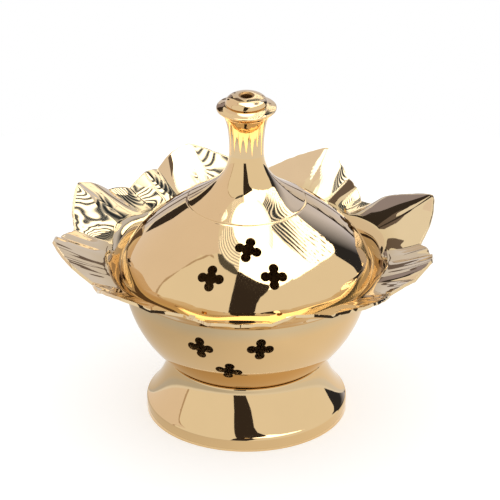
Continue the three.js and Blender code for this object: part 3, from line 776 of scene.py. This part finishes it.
washer_low, washer_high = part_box("base_washer")
washer_outline = (
    straight((SCREW_HOLE_RADIUS, washer_low.z), (washer_high.x, washer_low.z))
    + straight((washer_high.x, washer_high.z), (SCREW_HOLE_RADIUS, washer_high.z))
)
washer = turned("stamped_washer", washer_outline, WASHER_ROUNDING, WASHER_STEPS)
washer.data.materials.append(plated_steel("washer_plating"))
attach(washer, "base")
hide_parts("base_washer")

nut_low, nut_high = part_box("base_nut")
mesh = bmesh.new()
hexagon = bmesh.ops.create_circle(mesh, segments=6, radius=nut_high.x)["verts"]
turn_to_flats = Matrix.Rotation(math.pi / 2, 4, "Z")
bmesh.ops.transform(mesh, matrix=turn_to_flats, verts=hexagon)
bmesh.ops.subdivide_edges(mesh, edges=mesh.edges[:], cuts=NUT_STEPS // 6 - 1)
bmesh.ops.create_circle(mesh, segments=NUT_STEPS, radius=SCREW_HOLE_RADIUS)
bmesh.ops.bridge_loops(mesh, edges=mesh.edges[:])
grown = bmesh.ops.extrude_face_region(mesh, geom=mesh.faces[:])["geom"]
top_points = [part for part in grown if isinstance(part, bmesh.types.BMVert)]
bmesh.ops.translate(mesh, verts=top_points, vec=(0, 0, nut_high.z - nut_low.z))
bmesh.ops.translate(mesh, verts=mesh.verts, vec=(0, 0, nut_low.z))
bmesh.ops.recalc_face_normals(mesh, faces=mesh.faces)
nut = piece_from(mesh, "hexagon_nut")
round_edges(nut, NUT_ROUNDING)
settle(nut)
nut.data.materials.append(plated_steel("nut_plating"))
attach(nut, "base")
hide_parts("base_nut")


# The charcoal dish: a loose shallow dish of thin brass that lies on the bowl's wall and lifts out.
# It is left as it was spun, and the heat of the charcoal has browned it.
DISH_WALL = 0.8 * MM
DISH_FLOOR_RADIUS = 17.2 * MM
DISH_LIP_WIDTH = 1.6 * MM
DISH_SIDE = ((0.4, 0), (0.83, 0.57))
DISH_ROUNDING = 0.2 * MM
dish_low, dish_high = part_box("charcoal_dish")
DISH_LIP_HEIGHT = dish_low.z + 7.0 * MM


def heated_brass(name, deep, light):
    """Unpolished brass with the lathe's rings, browned and clouded by heat and smoke."""
    finish = Finish(name)
    place = finish.place()
    rings = finish.noise(finish.section(place), 0.35 * MM, 4.0)
    clouds = finish.noise(place, 6 * MM, 5.0)
    return finish.close(
        Base_Color=finish.blend(clouds, deep, light),
        Metallic=1.0,
        Roughness=0.3 + 0.25 * clouds + 0.1 * rings,
        Normal=finish.bumps(rings * 0.01 * MM),
    )


lip_start = (dish_high.x - DISH_LIP_WIDTH, DISH_LIP_HEIGHT)
dish_underside = (
    straight((0, dish_low.z), (DISH_FLOOR_RADIUS, dish_low.z))
    + curved((DISH_FLOOR_RADIUS, dish_low.z), lip_start, DISH_SIDE)[1:]
    + straight(lip_start, (dish_high.x, DISH_LIP_HEIGHT))[1:]
)
dish_face = [(max(radius, 0), height) for radius, height in beside(dish_underside, DISH_WALL)]
dish = turned("charcoal_dish_spinning", dish_underside + dish_face[::-1], DISH_ROUNDING)
dish.data.materials.append(heated_brass("dish_brass", (0.22, 0.12, 0.045), (0.52, 0.35, 0.15)))
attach(dish, "dish")
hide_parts("charcoal_dish")


# The lid's dome: spun from one brass disc, with its edge turned in to lie on the ledge, and pierced
# with three groups of three four-lobed holes that let the smoke out. Polished outside.
LID_WALL = 1.0 * MM
LID_LIP_WIDTH = 3.4 * MM
LID_SEAM_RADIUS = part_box("lid_neck")[1].x
LID_SEAM_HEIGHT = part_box("lid_neck")[0].z
DOME_SHOULDER = ((-0.015, 0.31), (0.5, 0.70))
# The dome bulges up to this height above the ledge, and only narrows from there.
DOME_BULGE_HEIGHT = 2 * MM
DOME_ROUNDING = 0.2 * MM
LID_GROUP_BEARING = 268.1
# Each hole's distance in from the lid's edge, in millimetres, its turn and its twist.
LID_HOLES = ((6.4, -17.8, 2), (7.0, 17.2, -8), (13.7, 3.1, -17))

dome_line = curved((LID_RADIUS, LEDGE_HEIGHT), (LID_SEAM_RADIUS, LID_SEAM_HEIGHT), DOME_SHOULDER)
end_run = dome_line[-2][0] - dome_line[-1][0]
end_rise = dome_line[-1][1] - dome_line[-2][1]
seam_inner_radius = LID_SEAM_RADIUS - LID_WALL * math.hypot(end_run, end_rise) / end_rise


def place_on_dome(radius):
    """A hole's place on the dome: its radius, its height and its tilt."""
    for lower, upper in zip(dome_line, dome_line[1:]):
        if upper[0] <= radius <= lower[0] and lower[1] > LEDGE_HEIGHT + DOME_BULGE_HEIGHT:
            share = (lower[0] - radius) / (lower[0] - upper[0])
            tilt = math.atan2(lower[0] - upper[0], upper[1] - lower[1])
            return (radius, mix(lower[1], upper[1], share), tilt)


lip_top = LEDGE_HEIGHT + LID_WALL
lip_inner = LID_RADIUS - LID_LIP_WIDTH
dome_inside = [p for p in beside(dome_line, LID_WALL) if lip_top < p[1] < LID_SEAM_HEIGHT]
dome_outline = (
    dome_line
    + straight((LID_SEAM_RADIUS, LID_SEAM_HEIGHT), (seam_inner_radius, LID_SEAM_HEIGHT))[1:]
    + dome_inside[::-1]
    + straight((LID_RADIUS - LID_WALL, lip_top), (lip_inner, lip_top))
    + straight((lip_inner, LEDGE_HEIGHT), (LID_RADIUS, LEDGE_HEIGHT))
)
dome = turned("pierced_dome", dome_outline, DOME_ROUNDING)
pierce(
    dome,
    LID_GROUP_BEARING,
    [(place_on_dome(LID_RADIUS - inset * MM), turn, twist) for inset, turn, twist in LID_HOLES],
)
dome.data.materials.append(spun_brass("dome_brass", LEDGE_HEIGHT))
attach(dome, "lid")
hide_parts("lid_dome")

# The centring ring: a hoop of brass strip soldered under the lid's lip. It hangs in the bowl's
# mouth and keeps the lid in its place. It is left unpolished.
ring_low, ring_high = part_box("lid_centring_ring")
RING_WALL = 0.8 * MM
RING_ROUNDING = 0.1 * MM
hoop_inner = ring_high.x - RING_WALL
hoop_outline = (
    straight((hoop_inner, ring_low.z), (ring_high.x, ring_low.z))
    + straight((ring_high.x, ring_low.z), (ring_high.x, ring_high.z))
    + straight((ring_high.x, ring_high.z), (hoop_inner, ring_high.z))
    + straight((hoop_inner, ring_high.z), (hoop_inner, ring_low.z))
)
hoop = turned("centring_hoop", hoop_outline, RING_ROUNDING)
hoop.data.materials.append(heated_brass("hoop_brass", (0.3, 0.18, 0.07), (0.58, 0.41, 0.18)))
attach(hoop, "lid")
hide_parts("lid_centring_ring")


# The neck: a hollow trumpet of spun brass, soldered to the dome at a fine line. It narrows to a
# waist and opens again under the knob. Polished outside.
NECK_RADIUS = 5.2 * MM
NECK_WALL = 1.1 * MM
NECK_WAIST_HEIGHT = LID_SEAM_HEIGHT + 15.7 * MM
NECK_TOP_RADIUS = 7.2 * MM
NECK_TOP_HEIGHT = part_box("lid_neck")[1].z
NECK_FLARE = ((0.45, 0.235), (0.98, 0.42))
NECK_COLLAR = ((0, 0.5), (0.3, 0.78))
NECK_ROUNDING = 0.2 * MM

flare = curved((LID_SEAM_RADIUS, LID_SEAM_HEIGHT), (NECK_RADIUS, NECK_WAIST_HEIGHT), NECK_FLARE)
collar = curved((NECK_RADIUS, NECK_WAIST_HEIGHT), (NECK_TOP_RADIUS, NECK_TOP_HEIGHT), NECK_COLLAR)
neck_bore = NECK_RADIUS - NECK_WALL
flare_inside = [p for p in beside(flare, NECK_WALL) if p[1] > LID_SEAM_HEIGHT]
neck_outline = (
    flare
    + collar[1:]
    + straight((NECK_TOP_RADIUS, NECK_TOP_HEIGHT), (neck_bore, NECK_TOP_HEIGHT))[1:]
    + straight((neck_bore, NECK_TOP_HEIGHT), (neck_bore, NECK_WAIST_HEIGHT))[1:-1]
    + flare_inside[::-1]
    + straight((seam_inner_radius, LID_SEAM_HEIGHT), (LID_SEAM_RADIUS, LID_SEAM_HEIGHT))[:-1]
)
neck = turned("hollow_neck", neck_outline, NECK_ROUNDING)
neck.data.materials.append(spun_brass("neck_brass"))
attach(neck, "lid")
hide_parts("lid_neck")


# The knob: a thin turned saucer and a domed button, screwed to the top of the neck. The smoke hole
# goes down through both. Turned from solid brass and polished.
SMOKE_HOLE_RADIUS = 1.7 * MM
SAUCER_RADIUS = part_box("knob_saucer")[1].x
SAUCER_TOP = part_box("knob_saucer")[1].z
SAUCER_EDGE_RISE = 1.8 * MM
SAUCER_EDGE = 0.6 * MM
SAUCER_RIM = ((0.6, 0.2), (1, 0.6))
SAUCER_SHOULDER = ((0, 0.6), (0.3, 0.9))
SAUCER_SLOPE = ((0.4, 0.22), (0.75, 0.68))
SAUCER_ROUNDING = 0.05 * MM
BUTTON_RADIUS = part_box("knob_button")[1].x
BUTTON_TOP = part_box("knob_button")[1].z
BUTTON_EDGE = 0.4 * MM
BUTTON_CROWN = ((0, 0.66), (0.44, 1))
BUTTON_ROUNDING = 0.1 * MM

saucer_widest = NECK_TOP_HEIGHT + SAUCER_EDGE_RISE
rim_start = (SAUCER_RADIUS - SAUCER_EDGE / 2, saucer_widest - SAUCER_EDGE)
shoulder_end = (SAUCER_RADIUS - SAUCER_EDGE / 2, saucer_widest + SAUCER_EDGE / 2)
saucer_rim = curved(rim_start, (SAUCER_RADIUS, saucer_widest), SAUCER_RIM)
saucer_shoulder = curved((SAUCER_RADIUS, saucer_widest), shoulder_end, SAUCER_SHOULDER)
saucer_outline = (
    straight((SMOKE_HOLE_RADIUS, NECK_TOP_HEIGHT), (NECK_TOP_RADIUS, NECK_TOP_HEIGHT))
    + straight((NECK_TOP_RADIUS, NECK_TOP_HEIGHT), saucer_rim[0])[1:]
    + saucer_rim[1:]
    + saucer_shoulder[1:]
    + curved(saucer_shoulder[-1], (BUTTON_RADIUS, SAUCER_TOP), SAUCER_SLOPE)[1:]
    + straight((BUTTON_RADIUS, SAUCER_TOP), (SMOKE_HOLE_RADIUS, SAUCER_TOP))[1:]
    + straight((SMOKE_HOLE_RADIUS, SAUCER_TOP), (SMOKE_HOLE_RADIUS, NECK_TOP_HEIGHT))[1:-1]
)
saucer = turned("knob_saucer_turning", saucer_outline, SAUCER_ROUNDING)
saucer.data.materials.append(spun_brass("saucer_brass"))
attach(saucer, "lid")
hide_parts("knob_saucer")

button_crown = curved(
    (BUTTON_RADIUS, SAUCER_TOP + BUTTON_EDGE), (SMOKE_HOLE_RADIUS + BUTTON_EDGE, BUTTON_TOP), BUTTON_CROWN
)
button_outline = (
    straight((SMOKE_HOLE_RADIUS, SAUCER_TOP), (BUTTON_RADIUS - BUTTON_EDGE, SAUCER_TOP))
    + [(BUTTON_RADIUS, SAUCER_TOP + BUTTON_EDGE)]
    + button_crown[1:]
    + straight((SMOKE_HOLE_RADIUS, BUTTON_TOP - BUTTON_EDGE), (SMOKE_HOLE_RADIUS, SAUCER_TOP))[:-1]
)
button = turned("domed_button", button_outline, BUTTON_ROUNDING)
button.data.materials.append(spun_brass("button_brass"))
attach(button, "lid")
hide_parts("knob_button")


# The studio: a white table inside a white cloth tent. The tent is lit from behind, its pleats are
# dark lines, and the dim room shows through the gaps in it. The tent only shows in the polish.
CARD_DISTANCE = 0.9
CARD_LAYER = 0.009
CARD_COLUMNS = 24
CARD_ROWS = 8
STUDIO_MIDDLE = Vector((0, 0, 45 * MM))
LAMP_STRENGTH = 3.8
# How far the pleats wander, in spacings, and over what distance, the size of the crumbs that are
# left of a broken one, and how thin it is below and thick above, in shares of its width.
PLEAT_DRIFT = 2.5
PLEAT_DRIFT_SIZE = 0.35
CRUMB_SIZE = 0.020
PLEAT_THINNEST = 0.6
PLEAT_THICKEST = 1.5
SHADED_CLOTH = (0.17, 0.27, 0.48)
# The dim room goes from its darkest to its full light between two heights, at one bearing in
# radians, and by ROOM_TILT lower for each radian further round to the right.
ROOM_DARKEST = 0.04
ROOM_RISE = (0.26, 0.70)
ROOM_TILT = 1.8
ROOM_BEARING = 2.27


def plain_light(name, colour):
    """Cloth or a room of one even brightness."""
    finish = Finish(name)
    return finish.end_in(finish.glow(colour))


def pleated_light(name, strength, spacing, dark, width, top=0.86, whole_from=0.55, lying=False):
    """Cloth lit from behind, with upright or lying pleats a number of degrees apart, dark over a
    share of that. They are wider above one height, broken below it, and gone above another."""
    finish = Finish(name)
    place = finish.place()
    x, y, z = finish.axes(place)
    sides = (z - STUDIO_MIDDLE.z, finish.from_axis(place)) if lying else (x, 0 - y)
    angle = finish.worked("ARCTAN2", *sides)
    drift = finish.noise(place, PLEAT_DRIFT_SIZE, 1.0)
    turn = angle * (math.degrees(1) / spacing) + drift * PLEAT_DRIFT
    edge = finish.worked("ABSOLUTE", finish.worked("FRACT", turn) - 0.5)
    thickness = width * finish.ramp(z, whole_from, whole_from + 0.15, PLEAT_THINNEST, PLEAT_THICKEST)
    line = finish.ramp(edge, thickness * 0.25, thickness * 0.75, 1.0, 0.0)
    crumbs = finish.ramp(finish.noise(place, CRUMB_SIZE, 1.0), 0.52, 0.58)
    upper = finish.ramp(z, whole_from, whole_from + 0.1)
    unbroken = finish.worked("MAXIMUM", crumbs, upper)
    below_top = finish.ramp(z, top, top + 0.04, 1.0, 0.0)
    cloth = 1 - line * unbroken * below_top * (1 - dark)
    tone = finish.blend(cloth, [strength * share for share in SHADED_CLOTH], [strength] * 3)
    return finish.end_in(finish.glow(tone, cloth))


def shaded_room(name, colour):
    """A dim room that is lighter above and to the right."""
    finish = Finish(name)
    x, y, z = finish.axes(finish.place())
    bearing = finish.worked("ARCTAN2", x, 0 - y)
    shade = finish.ramp(z + ROOM_TILT * (bearing - ROOM_BEARING), *ROOM_RISE, ROOM_DARKEST, 1.0)
    return finish.end_in(finish.glow(colour, shade))


def keep_in_polish(piece):
    """Makes a piece of the studio that shows in the polish and nowhere else."""
    piece.visible_camera = False
    piece.visible_diffuse = False
    piece.visible_shadow = False


def card(name, rows, look, layer=0):
    """A bowed card round the studio. Each row is a height above the table and the bearings of the
    card's two edges there, in degrees. Bearings run from the camera to the viewer's right. A card on
    a higher layer stands nearer, before those on lower ones."""
    reach = CARD_DISTANCE - CARD_LAYER * layer
    mesh = bmesh.new()
    strips = len(rows) - 1
    bmesh.ops.create_grid(mesh, x_segments=CARD_COLUMNS, y_segments=CARD_ROWS * strips, size=0.5)
    for point in mesh.verts:
        along = (point.co.y + 0.5) * strips
        row = min(int(along), strips - 1)
        low, high = rows[row], rows[row + 1]
        height, left, right = (math.radians(mix(a, b, along - row)) for a, b in zip(low, high))
        bearing = mix(left, right, point.co.x + 0.5)
        level = Vector((math.sin(bearing), -math.cos(bearing), 0))
        point.co = STUDIO_MIDDLE + reach * (level * math.cos(height) + Vector((0, 0, math.sin(height))))
    made = piece_from(mesh, name)
    made.data.materials.append(look)
    keep_in_polish(made)


dark_room = plain_light("dark_room", (0.045, 0.037, 0.036))
dim_room = plain_light("dim_room", (0.12, 0.12, 0.12))
grey_room = shaded_room("grey_room", (0.78, 0.87, 1.25))
brown_door = plain_light("brown_door", (0.18, 0.15, 0.15))
screen_edge = plain_light("screen_edge", (0.60, 0.50, 0.42))
far_cloth = plain_light("far_cloth", (0.95, 0.90, 0.93))
back_cloth = plain_light("back_cloth", (0.78, 0.80, 0.92))
left_back_cloth = plain_light("left_back_cloth", (0.36, 0.34, 0.44))
lamp_white = plain_light("lamp_white", (LAMP_STRENGTH,) * 3)
deep_pleats = pleated_light("deep_pleats", LAMP_STRENGTH, 4.2, dark=0.04, width=0.54, whole_from=0.66)
zebra_pleats = pleated_light("zebra_pleats", 3.2, 2.8, dark=0.08, width=0.27, top=0.885)
faint_pleats = pleated_light("faint_pleats", LAMP_STRENGTH * 0.5, 1.3, 0.5, 0.34, top=0.915, lying=True)
back_pleats = pleated_light("back_pleats", 1.8, 3.0, dark=0.08, width=0.6)

gap_rows = (
    (-12, -18, -3), (0, -17, 1), (15, -16, 6), (35, -16, 10), (43, -16, 15), (50, -16, 28),
    (53, -16, 30), (57, -16, 17), (61, -16, 5), (64, -15, -9),
)
seam_rows = (
    (-12, -84, -81), (0, -87, -84), (25, -91, -88), (42, -88, -86), (52, -82, -80), (60, -74, -71),
    (62, -66, -62),
)
lamp_rows = (
    (26, 119, 123), (30, 112, 124), (34, 105, 124.5), (38, 98, 125), (42, 87, 127), (45, 78, 132),
    (48, 60, 132), (67, 60, 132),
)
pleat_rows = (
    (26, 119, 123), (30, 112, 124), (34, 105, 124.5), (38, 98, 125), (42, 92, 127), (45, 89, 132),
    (67, 84, 132),
)
room_rows = (
    (-12, 118, 148), (10, 120, 148), (15, 119, 148), (26, 116, 147), (30, 120, 146), (36, 124, 147),
    (46, 130, 149),
)
zebra_rows = ((45, 130, 136), (48, 130, 148), (52, 130, 160), (58, 130, 172), (67, 130, 180))
cloth_rows = ((-12, -180, -152), (10, -180, -152), (16, -180, -165), (40, -180, -170))
# In front, from left to right.
card("left_screen_edge", seam_rows, screen_edge)
card("left_lamp_foot", ((62, -20, -13), (63, -50, -14), (64.5, -62, -17), (66.5, -55, -25)), dim_room, 2)
card("left_lamp", ((66, -74, -15), (70, -85, -15), (76, -100, -15)), faint_pleats, 1)
card("gap_between_screens", gap_rows, dark_room, 3)
card("middle_lamp", ((49, 14, 62), (52, 4, 62), (58, -6, 62), (62, -13, 62), (90, -20, 62)), lamp_white, 2)
# On the right and above.
card("right_lamp", lamp_rows, lamp_white, 1)
card("right_pleats", pleat_rows, deep_pleats, 2)
card("zebra_lamp", zebra_rows, zebra_pleats, 2)
card("ceiling_lamp", ((66, 60, 260), (76, 60, 260), (90, 60, 260)), deep_pleats, -1)
card("ceiling_lamp_left", ((76, -100, -15), (90, -100, -15)), lamp_white, -1)
card("right_room", room_rows, grey_room, 1)
card("right_room_edge", ((-12, 147, 152), (20, 147, 151), (38, 147, 149)), dark_room)
# Behind.
card("back_right_cloth", ((-12, 151, 180), (24, 149, 180)), back_cloth)
card("back_right_pleats", ((24, 149, 180), (60, 150, 180)), back_pleats)
card("back_left_cloth", cloth_rows, back_cloth)
for bearing in (163, -158, -165, -172):
    gap = ((-12, bearing - 1, bearing + 1), (18, bearing - 1, bearing + 1))
    card(f"back_gap_{bearing % 360}", gap, brown_door, 3)
card("left_back_cloth", ((12, -166, -152), (30, -166, -152)), left_back_cloth, 1)
card("brown_gap", ((36, -174, -157), (56, -176, -160)), brown_door, 3)
# On the left.
card("left_far_screen", ((-12, -148, -86), (30, -150, -90), (55, -150, -82), (66, -150, -60)), far_cloth)
card("left_room", ((4, -151, -147), (12, -150, -143), (20, -149, -140), (28, -146, -141)), dark_room, 2)
card("left_far_room", ((27, -164, -154), (38, -163, -155)), dark_room, 2)
card("brown_door", ((63, -121, -109), (71, -121, -109)), brown_door, 3)

# The table: white paper, which takes the censer's shadow. In the polish an even glowing disc stands
# in for it: darker on the left as painted shade, warmer near the foot as painted bounce light from
# the brass, bluer further off, and brightest where the lamps reach it.
TABLE_RADIUS = 0.2
TABLE_STEPS = 96
PAPER = (0.76, 0.76, 0.76)
PAPER_GLOW = 0.42
# The near colour is painted warm bounce light from the brass.
BOUNCE_LIT_PAPER = (1, 0.93, 0.84)
FAR_PAPER = (0.88, 0.92, 1)
MIRRORED_GAP = 1 * MM
MIRRORED_HEIGHT = 0.1 * MM
LIT_PAPER = 1.1

mesh = bmesh.new()
bmesh.ops.create_circle(mesh, cap_ends=True, segments=TABLE_STEPS, radius=TABLE_RADIUS)
floor = piece_from(mesh, "table_top")
finish = Finish("white_table")
seen = 0
for kind in ("Is Camera Ray", "Is Glossy Ray", "Is Transmission Ray"):
    seen = seen + finish.node("ShaderNodeLightPath", output=kind)
paper = finish.node("ShaderNodeBsdfDiffuse", {}, {"Color": PAPER})
shine = finish.glow((1, 1, 1), seen * PAPER_GLOW)
both = finish.node("ShaderNodeAddShader", {}, {0: paper, 1: shine})
floor.data.materials.append(finish.end_in(both))

mesh = bmesh.new()
bmesh.ops.create_circle(mesh, segments=TABLE_STEPS, radius=FOOT_RADIUS + MIRRORED_GAP)
bmesh.ops.create_circle(mesh, segments=TABLE_STEPS, radius=TABLE_RADIUS)
bmesh.ops.bridge_loops(mesh, edges=mesh.edges[:])
bmesh.ops.translate(mesh, verts=mesh.verts, vec=(0, 0, MIRRORED_HEIGHT))
mirrored_table = piece_from(mesh, "mirrored_table")
finish = Finish("mirrored_table")
place = finish.place()
bluer = finish.ramp(finish.from_axis(place), 70 * MM, 90 * MM)
# Painted shade: the disc is darker on the left.
shade = finish.ramp(finish.axes(place)[0], -60 * MM, 40 * MM, 0.68, 0.97)
lit = finish.ramp(finish.from_axis(place), 120 * MM, 150 * MM)
colour = finish.blend(bluer, BOUNCE_LIT_PAPER, FAR_PAPER)
light = finish.glow(colour, shade * (1 - lit) + LIT_PAPER * lit)
mirrored_table.data.materials.append(finish.end_in(light))
keep_in_polish(mirrored_table)

world = bpy.data.worlds.new("studio_air")
world.use_nodes = True
world.node_tree.nodes["Background"].inputs["Color"].default_value = (1, 1, 1, 1)
world.node_tree.nodes["Background"].inputs["Strength"].default_value = 1.0
bpy.context.scene.world = world

# The camera: where the photograph was taken from, with a long lens.
CAMERA_TARGET = Vector((1.04 * MM, 0, 52.2 * MM))
CAMERA_DISTANCE = 1.8
CAMERA_ELEVATION = math.radians(27.2)
CAMERA_SENSOR = 36
CAMERA_LENS = 434

camera_data = bpy.data.cameras.new("camera")
camera_data.sensor_width = CAMERA_SENSOR
camera_data.lens = CAMERA_LENS
camera = bpy.data.objects.new("camera", camera_data)
bpy.context.scene.collection.objects.link(camera)
away = Vector((0, -math.cos(CAMERA_ELEVATION), math.sin(CAMERA_ELEVATION)))
camera.location = CAMERA_TARGET + away * CAMERA_DISTANCE
camera.rotation_euler = (-away).to_track_quat("-Z", "Y").to_euler()
bpy.context.scene.camera = camera
bpy.context.scene.view_settings.view_transform = "Standard"
